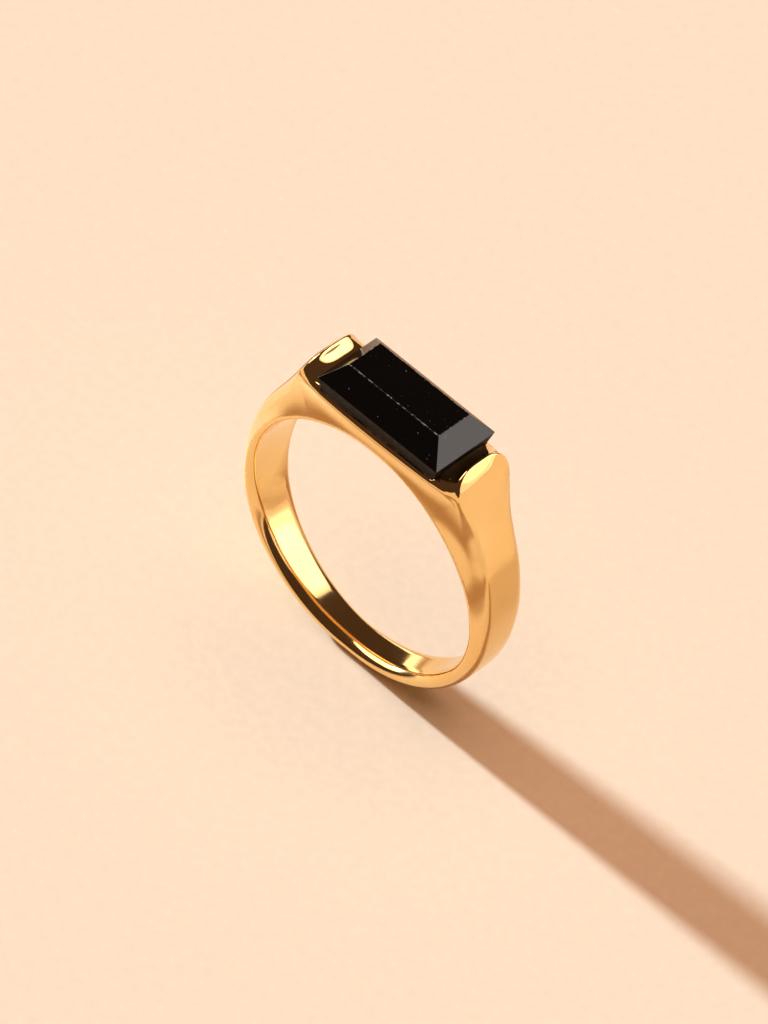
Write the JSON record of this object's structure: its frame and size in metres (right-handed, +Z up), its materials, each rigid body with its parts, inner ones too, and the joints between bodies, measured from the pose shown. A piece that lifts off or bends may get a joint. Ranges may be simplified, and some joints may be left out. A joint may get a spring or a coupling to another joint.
{
  "type": "signet ring",
  "caption": "Gold-coloured finger ring with a tapering shank, scooped shoulders and a bevelled black rectangular stone glued into a shallow pocket.",
  "frame": {"origin": "centre of the finger bore, in the band's middle plane", "axes": "+Y along the finger, +Z up through the middle of the stone, +X along the stone's long side"},
  "size_m": [0.0196, 0.0052, 0.0225],
  "materials": {
    "gold": "polished inside and in the scoops, soft satin on the shoulders",
    "onyx": "mirror-polished black stone",
    "glue": "cured clear to milky glue"
  },
  "bodies": {
    "root": {"band": "gold", "onyx_stone": "onyx", "glue_bed": "glue"}
  },
  "joints": []
}
